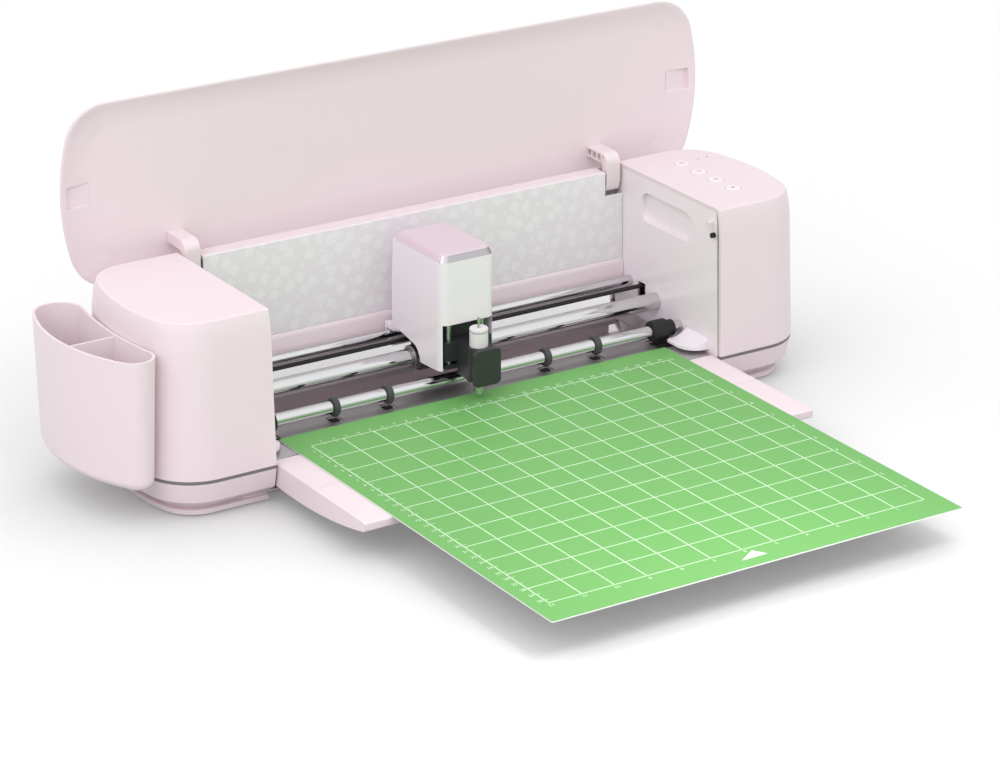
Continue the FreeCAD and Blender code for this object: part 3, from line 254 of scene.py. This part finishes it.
def plastic(name, colour, rough=0.4, bump=0.04, scale=2500, tint=0.03):
    """Moulded plastic with a fine grain and slight tone variation."""
    material, tree, surface = new_material(name)
    fine = grain(tree, surface, scale, rough, GLOSS_SPREAD, bump)
    darker = tuple(c * (1 - tint) for c in colour[:3]) + (1,)
    tree.links.new(mix_colour(tree, fine, tuple(colour[:3]) + (1,), darker), surface.inputs["Base Color"])
    surface.inputs["IOR"].default_value = PLASTIC_IOR
    return material


def metal(name, colour, rough=0.2, stretch=(1, 1, 1), scale=300, bump=0.02):
    """Metal, drawn out along its length where stretch says so."""
    material, tree, surface = new_material(name)
    surface.inputs["Metallic"].default_value = 1
    surface.inputs["Base Color"].default_value = tuple(colour[:3]) + (1,)
    grain(tree, surface, scale, rough, rough * 0.4, bump, stretch)
    return material


def mat_material(colour):
    """Green tacky face on a white backing, which shows at the edges and underneath."""
    material = plastic("mat_green", colour, 0.5, 0.03, 1200, 0.05)
    tree = material.node_tree
    surface = tree.nodes["Principled BSDF"]
    green = surface.inputs["Base Color"].links[0].from_socket
    facing = node(tree, "ShaderNodeNewGeometry")
    split = node(tree, "ShaderNodeSeparateXYZ")
    tree.links.new(facing.outputs["Normal"], split.inputs["Vector"])
    upward = value_math(tree, "GREATER_THAN", split.outputs["Z"], UPWARD)
    tree.links.new(mix_colour(tree, upward, (0.82, 0.83, 0.82, 1), green), surface.inputs["Base Color"])
    return material


def panel_material(colour, contrast):
    """Light grey panel with an even scatter of pale rounded squares and small dots."""
    material, tree, surface = new_material("rear_panel")
    base = tuple(colour)
    light = tuple(c + (PANEL_PRINT_TONE - c) * contrast for c in base[:3]) + (1,)
    where = node(tree, "ShaderNodeTexCoord")
    masks = []
    for cells_per_metre, size, turn, metric in PANEL_LAYERS:
        upright = node(tree, "ShaderNodeMapping")
        upright.inputs["Rotation"].default_value = (-math.pi / 2, 0, turn)
        tree.links.new(where.outputs["Object"], upright.inputs["Vector"])
        cells = node(tree, "ShaderNodeTexVoronoi", voronoi_dimensions="2D", distance=metric)
        cells.inputs["Scale"].default_value = cells_per_metre
        cells.inputs["Randomness"].default_value = PANEL_SCATTER
        if metric == "MINKOWSKI":
            cells.inputs["Exponent"].default_value = PANEL_SQUARENESS
        tree.links.new(upright.outputs["Vector"], cells.inputs["Vector"])
        edge = node(tree, "ShaderNodeMapRange", interpolation_type="SMOOTHSTEP")
        edge.inputs["From Min"].default_value = size
        edge.inputs["From Max"].default_value = size - PANEL_BLUR
        tree.links.new(cells.outputs["Distance"], edge.inputs["Value"])
        masks.append(edge.outputs["Result"])
    mask = value_math(tree, "MAXIMUM", *masks)
    tree.links.new(mix_colour(tree, mask, base, light), surface.inputs["Base Color"])
    grain(tree, surface, PANEL_GRAIN, PANEL_ROUGHNESS, GLOSS_SPREAD, 0)
    return material


def print_material(name, colour):
    """Thin printed ink with slightly uneven gloss."""
    material, tree, surface = new_material(name)
    surface.inputs["Base Color"].default_value = tuple(colour[:3]) + (1,)
    grain(tree, surface, INK_GRAIN, INK_ROUGHNESS, GLOSS_SPREAD, 0)
    return material


def mesh_piece(name, points, faces, material, body):
    """A small mesh in the row frame that moves with a CAD body."""
    mesh = bpy.data.meshes.new(name)
    mesh.from_pydata([tuple(c * MM for c in p) for p in points], [], faces)
    mesh.update()
    piece = bpy.data.objects.new(name, mesh)
    bpy.context.scene.collection.objects.link(piece)
    piece.data.materials.append(material)
    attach(piece, body)


class Marks:
    """Flat printed marks gathered into one mesh at a single level."""

    def __init__(self, level):
        self.level = level
        self.points = []
        self.faces = []

    def polygon(self, outline):
        """One flat face from its corners."""
        first = len(self.points)
        self.points += [(x, y, self.level) for x, y in outline]
        self.faces.append(tuple(range(first, first + len(outline))))

    def bar(self, x0, x1, y0, y1):
        """A rectangle."""
        self.polygon([(x0, y0), (x1, y0), (x1, y1), (x0, y1)])

    def ring(self, x, y, inner, outer, start=0.0, end=360.0, steps=24):
        """Part of a flat ring, from start to end in degrees."""
        for i in range(steps):
            a = math.radians(start + (end - start) * i / steps)
            b = math.radians(start + (end - start) * (i + 1) / steps)
            corners = ((inner, a), (outer, a), (outer, b), (inner, b))
            self.polygon([(x + r * math.cos(t), y + r * math.sin(t)) for r, t in corners])

    def disc(self, x, y, radius, steps=20):
        """A filled circle."""
        turns = [2 * math.pi * i / steps for i in range(steps)]
        self.polygon([(x + radius * math.cos(t), y + radius * math.sin(t)) for t in turns])

    def number(self, text, x, y, tall, turn=0.0):
        """A number drawn with the built-in font, centred on a point."""
        curve = bpy.data.curves.new("number", "FONT")
        curve.body = text
        curve.size = tall
        curve.align_x = "CENTER"
        curve.align_y = "CENTER"
        curve.resolution_u = 2
        letter = bpy.data.objects.new("number", curve)
        mesh = letter.to_mesh()
        c, s = math.cos(turn), math.sin(turn)
        first = len(self.points)
        self.points += [(x + v.co.x * c - v.co.y * s, y + v.co.x * s + v.co.y * c, self.level)
                        for v in mesh.vertices]
        self.faces += [tuple(first + i for i in face.vertices) for face in mesh.polygons]
        letter.to_mesh_clear()
        bpy.data.objects.remove(letter)
        bpy.data.curves.remove(curve)

    def build(self, name, material, body):
        """Make the gathered marks into one piece."""
        mesh_piece(name, self.points, self.faces, material, body)


def dress(names, material, rounding=0.0, segments=EDGE_SEGMENTS):
    """Give CAD nodes a material, smooth shading and softly rounded edges.

    Flat faces keep even shading, unless a wider rounding is asked for.
    """
    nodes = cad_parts
    width = rounding or bpy.context.scene.cutter_looks.edge_width
    for name in names:
        thing = nodes[name]
        thing.data.materials.clear()
        thing.data.materials.append(material)
        for face in thing.data.polygons:
            face.use_smooth = True
        weld = thing.modifiers.new("weld", "WELD")
        weld.merge_threshold = WELD_GAP
        bevel = thing.modifiers.new("soft_edges", "BEVEL")
        bevel.width = width
        bevel.segments = segments
        bevel.limit_method = "ANGLE"
        bevel.angle_limit = EDGE_ANGLE
        bevel.use_clamp_overlap = True
        if not rounding:
            normals = thing.modifiers.new("flat_faces", "WEIGHTED_NORMAL")
            normals.weight = 100


class CUTTER_OT_shells(bpy.types.Operator):
    """Pink shells, white covers, plates and dark bands"""

    bl_idname = "cutter.shells"
    bl_label = "Shells and covers"

    def execute(self, context):
        looks = context.scene.cutter_looks
        pink = plastic("shell_pink", looks.shell_colour, looks.shell_roughness)
        dress([
            "base_pan", "left_housing", "right_housing", "rear_cover", "lid_shell", "left_hinge_arm",
            "right_hinge_arm", "front_door", "door_deck", "tool_cup", "lid_catches",
        ], pink)
        cap = plastic("cap_pink", looks.cap_colour, 0.3, bump=0.02)
        dress(["carriage_cap"], cap, CAP_ROUNDING, CAP_SEGMENTS)
        button = plastic("button_cap", (0.92, 0.83, 0.87), 0.35)
        dress(["power_button", "load_button", "pause_button", "start_button"], button)
        white = plastic("white_cover", looks.cover_colour, 0.22, bump=0.01)
        dress(["carriage_cover", "rear_shoe", "left_mat_guide", "right_mat_guide"], white)
        plate = plastic("side_plate", looks.plate_colour, 0.16, bump=0.01)
        dress(["left_side_plate", "right_side_plate"], plate)
        dress(["left_accent", "right_accent"], plastic("accent", looks.band_colour, 0.45))
        dress(["carriage_frame", "tool_holder", "clamp_lever", "power_jack", "data_port"],
              plastic("dark_moulding", (0.035, 0.035, 0.038), 0.38, bump=0.06))
        dress(["rear_panel"], panel_material(looks.panel_colour, looks.panel_contrast))
        return {"FINISHED"}


class CUTTER_OT_mechanism(bpy.types.Operator):
    """Rails, rollers, belt, motors, gears and the sheet bed"""

    bl_idname = "cutter.mechanism"
    bl_label = "Mechanism"

    def execute(self, context):
        along = (0.02, 1, 1)
        chrome = metal("rail_chrome", (0.66, 0.66, 0.67), 0.06, along, bump=0)
        dress(["front_rail", "rear_rail", "pinch_bar"], chrome)
        dress(["carriage_trim"], metal("trim_chrome", (0.46, 0.44, 0.46), 0.04))
        dress(["blade_housing"], plastic("blade_silver", (0.80, 0.76, 0.79), 0.28))
        dress(["bed_plate"], metal("bed_sheet", (0.62, 0.60, 0.61), 0.42, (0.03, 1, 1), 900))
        dress(["hinge_pins", "door_pins", "plunge_rods", "clamp_pin", "blade_nose", "blade_plunger",
               "drive_roller", "idler_bracket"], metal("ground_steel", (0.55, 0.55, 0.56), 0.25))
        dress(["carriage_bushes"], metal("bush", (0.30, 0.29, 0.28), 0.30))
        dress(["carriage_motor", "feed_motor", "plunge_motor"], metal("motor_can", (0.25, 0.25, 0.26), 0.35))
        dress(["drive_belt"], plastic("belt_rubber", (0.008, 0.008, 0.008), 0.85, 0.3, 900))
        dress(["pinch_rings"], plastic("ring_grey", (0.055, 0.055, 0.058), 0.4))
        dress(["pinch_rollers", "drive_grips"], plastic("grip_black", (0.012, 0.012, 0.012), 0.6, 0.4, 5000))
        dress(["rubber_feet", "lid_bumpers"], plastic("rubber_black", (0.02, 0.02, 0.02), 0.7, 0.2))
        dress(["feed_gear", "feed_pinion", "motor_pulley", "idler_pulley"],
              plastic("gear_natural", (0.70, 0.68, 0.62), 0.45))
        dress(["control_board"], plastic("board", (0.02, 0.15, 0.06), 0.4))
        self.blade_ring()
        return {"FINISHED"}

    def blade_ring(self):
        """Grey ring printed round the top of the blade housing."""
        ink = print_material("tool_ring", (0.30, 0.30, 0.31))
        steps, radius = BLADE_RING_STEPS, BLADE_RING_RADIUS
        x, y = BLADE_CENTRE
        turn = 2 * math.pi / steps
        points = [(x + radius * math.cos(i * turn), y + radius * math.sin(i * turn), z)
                  for z in BLADE_RING_LEVELS for i in range(steps)]
        faces = [(i, (i + 1) % steps, steps + (i + 1) % steps, steps + i) for i in range(steps)]
        mesh_piece("blade_ring", points, faces, ink, "blade")


class CUTTER_OT_mat(bpy.types.Operator):
    """Green grip mat with its grid, rulers and arrow"""

    bl_idname = "cutter.mat"
    bl_label = "Grip mat"

    def execute(self, context):
        looks = context.scene.cutter_looks
        dress(["cutting_mat"], mat_material(looks.mat_colour))
        marks = Marks(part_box("cutting_mat")[1].z / MM + PRINT_LIFT)
        self.grid(marks)
        self.rulers(marks)
        marks.build("mat_print", print_material("mat_print", looks.print_colour), "mat")
        arrow = Marks(marks.level)
        arrow.polygon(ARROW)
        arrow.build("mat_arrow", print_material("arrow_white", (0.90, 0.94, 0.88)), "mat")
        return {"FINISHED"}

    def grid(self, marks):
        """Lines one inch apart, both ways."""
        right, far = GRID_LEFT + GRID_CELLS * INCH, GRID_NEAR + GRID_CELLS * INCH
        for i in range(GRID_CELLS + 1):
            x, y = GRID_LEFT + i * INCH, GRID_NEAR + i * INCH
            marks.bar(x - GRID_HALF_LINE, x + GRID_HALF_LINE, GRID_NEAR, far)
            marks.bar(GRID_LEFT, right, y - GRID_HALF_LINE, y + GRID_HALF_LINE)

    def rulers(self, marks):
        """Centimetres at the far and left edges, inches at the near and right ones."""
        right, far = GRID_LEFT + GRID_CELLS * INCH, GRID_NEAR + GRID_CELLS * INCH
        for cm in range(1, RULER_CM + 1):
            x, y = GRID_LEFT + cm * 10, far - cm * 10
            marks.bar(x - TICK_HALF_WIDTH, x + TICK_HALF_WIDTH, far - TICK_LENGTH, far)
            marks.bar(GRID_LEFT, GRID_LEFT + TICK_LENGTH, y - TICK_HALF_WIDTH, y + TICK_HALF_WIDTH)
            marks.number(str(cm), x, far + RULER_GAP, CM_NUMBER_SIZE)
            marks.number(str(cm), GRID_LEFT - RULER_GAP, y, CM_NUMBER_SIZE)
        for inch in range(1, GRID_CELLS + 1):
            marks.number(str(inch), right - inch * INCH, GRID_NEAR - RULER_GAP, INCH_NUMBER_SIZE, math.pi)
            marks.number(str(inch), right + RULER_GAP, GRID_NEAR + inch * INCH, INCH_NUMBER_SIZE, math.pi)


class CUTTER_OT_signs(bpy.types.Operator):
    """Faint signs on the buttons and two small lamps beside them"""

    bl_idname = "cutter.signs"
    bl_label = "Button signs and lamps"

    def execute(self, context):
        ink = print_material("sign_grey", (0.30, 0.27, 0.29))
        drawings = {
            "power": self.power, "load": self.load, "pause": self.pause, "start": self.start,
        }
        for name, draw in drawings.items():
            low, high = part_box(f"{name}_button")
            marks = Marks(high.z / MM + PRINT_LIFT)
            x, y = (low.x + high.x) / 2 / MM, (low.y + high.y) / 2 / MM
            draw(marks, x, y)
            marks.build(f"{name}_sign", ink, f"button_{name}")
        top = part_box("right_housing")[1].z / MM
        lamps = Marks(top + PRINT_LIFT)
        for x, y in LAMP_CENTRES:
            lamps.disc(x, y, LAMP_RADIUS)
        lamps.build("lamps", print_material("lamp_grey", (0.20, 0.18, 0.19)), "frame")
        return {"FINISHED"}

    # Each sign is drawn in millimetres round the middle of its button.

    def power(self, marks, x, y):
        """Open ring with an upright bar."""
        marks.ring(x, y, 1.5, 2.0, 120, 420)
        marks.bar(x - 0.25, x + 0.25, y + 0.6, y + 2.4)

    def load(self, marks, x, y):
        """One arrow up and one down."""
        for side in (-1, 1):
            stem, tip = x + side * 1.3, y + side * 2.4
            shoulder = tip - side * 1.2
            marks.bar(stem - 0.22, stem + 0.22, y - 1.6, y + 1.6)
            marks.polygon([(stem, tip), (stem - 0.9, shoulder), (stem + 0.9, shoulder)])

    def pause(self, marks, x, y):
        """Two upright bars."""
        for side in (-1, 1):
            marks.bar(x + side * 0.9 - 0.35, x + side * 0.9 + 0.35, y - 1.7, y + 1.7)

    def start(self, marks, x, y):
        """Triangle pointing right."""
        marks.polygon([(x - 1.3, y - 1.8), (x + 1.9, y), (x - 1.3, y + 1.8)])


class CUTTER_OT_stage(bpy.types.Operator):
    """Camera, soft studio light and a pale floor"""

    bl_idname = "cutter.stage"
    bl_label = "Stage"

    def execute(self, context):
        stage = context.scene.cutter_stage
        scene = context.scene
        camera_data = bpy.data.cameras.new("camera")
        camera_data.lens = stage.lens
        camera_data.sensor_width = SENSOR_WIDTH
        camera_data.sensor_fit = "HORIZONTAL"
        camera_data.clip_end = CLIP_END
        camera = bpy.data.objects.new("camera", camera_data)
        camera.location = stage.camera_place
        camera.rotation_euler = (math.pi / 2 - stage.camera_pitch, 0, -stage.camera_yaw)
        scene.collection.objects.link(camera)
        scene.camera = camera
        scene.view_settings.view_transform = "Standard"
        self.floor(scene)
        self.world(scene, stage.sky)
        self.light(scene, stage.key, *KEY_LIGHT)
        self.light(scene, stage.key, *SIDE_LIGHT)
        near = self.light(scene, stage.key, *NEAR_LIGHT)
        near.data.spread = NEAR_LIGHT_SPREAD
        near.visible_camera = False
        return {"FINISHED"}

    def floor(self, scene):
        """White floor that keeps the object's shadow, with painted shade that makes it a little deeper close
        to the object.
        """
        mesh = bpy.data.meshes.new("floor")
        reach = FLOOR_REACH
        mesh.from_pydata([(-reach, -reach, 0), (reach, -reach, 0), (reach, reach, 0), (-reach, reach, 0)],
                         [], [(0, 1, 2, 3)])
        floor = bpy.data.objects.new("floor", mesh)
        scene.collection.objects.link(floor)
        material, tree, surface = new_material("floor")
        surface.inputs["Roughness"].default_value = 0.9
        surface.inputs["Specular IOR Level"].default_value = 0.0
        surface.inputs["Emission Color"].default_value = (1, 1, 1, 1)
        path = node(tree, "ShaderNodeLightPath")
        seen = value_math(tree, "MAXIMUM", path.outputs["Is Camera Ray"], path.outputs["Is Glossy Ray"])
        seen = value_math(tree, "MAXIMUM", seen, path.outputs["Is Transmission Ray"])
        # Painted shade: ambient occlusion darkens the floor's colour and glow near the object.
        near = node(tree, "ShaderNodeAmbientOcclusion", samples=SHADOW_SAMPLES)
        near.inputs["Distance"].default_value = SHADOW_REACH
        painted_shade_scale = value_math(tree, "MULTIPLY_ADD", near.outputs["AO"], SHADOW_DEPTH, 1 - SHADOW_DEPTH)
        tree.links.new(value_math(tree, "MULTIPLY", painted_shade_scale, FLOOR_TONE), surface.inputs["Base Color"])
        lift = value_math(tree, "MULTIPLY", value_math(tree, "MULTIPLY", seen, FLOOR_LIFT), painted_shade_scale)
        tree.links.new(lift, surface.inputs["Emission Strength"])
        floor.data.materials.append(material)

    def world(self, scene, strength):
        """Soft light all round, stronger from the front, the left and above, with a darker horizon."""
        world = bpy.data.worlds.new("studio")
        scene.world = world
        world.use_nodes = True
        tree = world.node_tree
        where = node(tree, "ShaderNodeTexCoord")
        toward = node(tree, "ShaderNodeVectorMath", operation="DOT_PRODUCT")
        toward.inputs[1].default_value = SKY_TOWARD
        tree.links.new(where.outputs["Generated"], toward.inputs[0])
        spread = node(tree, "ShaderNodeMapRange")
        spread.inputs["From Min"].default_value = -1
        spread.inputs["To Min"].default_value = strength * (1 - SKY_SPREAD)
        spread.inputs["To Max"].default_value = strength * (1 + SKY_SPREAD)
        tree.links.new(toward.outputs["Value"], spread.inputs["Value"])
        split = node(tree, "ShaderNodeSeparateXYZ")
        tree.links.new(where.outputs["Generated"], split.inputs["Vector"])
        horizon = node(tree, "ShaderNodeMapRange", interpolation_type="SMOOTHSTEP")
        horizon.inputs["From Max"].default_value = HORIZON_TOP
        horizon.inputs["To Min"].default_value = HORIZON_TONE
        tree.links.new(split.outputs["Z"], horizon.inputs["Value"])
        back = tree.nodes["Background"]
        back.inputs["Color"].default_value = (1, 1, 1, 1)
        level = value_math(tree, "MULTIPLY", spread.outputs["Result"], horizon.outputs["Result"])
        tree.links.new(level, back.inputs["Strength"])

    def light(self, scene, power, name, place, target, size, share):
        """Square soft light aimed at a point."""
        data = bpy.data.lights.new(name, "AREA")
        data.size = size
        data.energy = power * share
        light = bpy.data.objects.new(name, data)
        light.location = place
        aim = Vector(target) - Vector(place)
        light.rotation_euler = aim.to_track_quat("-Z", "Y").to_euler()
        scene.collection.objects.link(light)
        return light


class CUTTER_PT_panel(bpy.types.Panel):
    """Sidebar panel of the craft cutter"""

    bl_idname = "CUTTER_PT_panel"
    bl_label = "Craft cutter"
    bl_space_type = "VIEW_3D"
    bl_region_type = "UI"
    bl_category = "Craft cutter"

    def draw(self, context):
        column = self.layout.column()
        for group in (context.scene.cutter_looks, context.scene.cutter_stage):
            for name in group.__annotations__:
                column.prop(group, name)
        for operator in OPERATORS:
            column.operator(operator.bl_idname)


OPERATORS = (
    CUTTER_OT_shells, CUTTER_OT_mechanism, CUTTER_OT_mat, CUTTER_OT_signs, CUTTER_OT_stage,
)
CLASSES = (CutterLooks, CutterStage, *OPERATORS, CUTTER_PT_panel)


def register():
    """Add the classes and the two groups of properties."""
    for kind in CLASSES:
        bpy.utils.register_class(kind)
    bpy.types.Scene.cutter_looks = bpy.props.PointerProperty(type=CutterLooks)
    bpy.types.Scene.cutter_stage = bpy.props.PointerProperty(type=CutterStage)


def unregister():
    """Take them away again."""
    del bpy.types.Scene.cutter_stage
    del bpy.types.Scene.cutter_looks
    for kind in reversed(CLASSES):
        bpy.utils.unregister_class(kind)


def main():
    """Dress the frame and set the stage."""
    register()
    bpy.ops.cutter.shells()
    bpy.ops.cutter.mechanism()
    bpy.ops.cutter.mat()
    bpy.ops.cutter.signs()
    bpy.ops.cutter.stage()


if __name__ == "__main__":
    main()
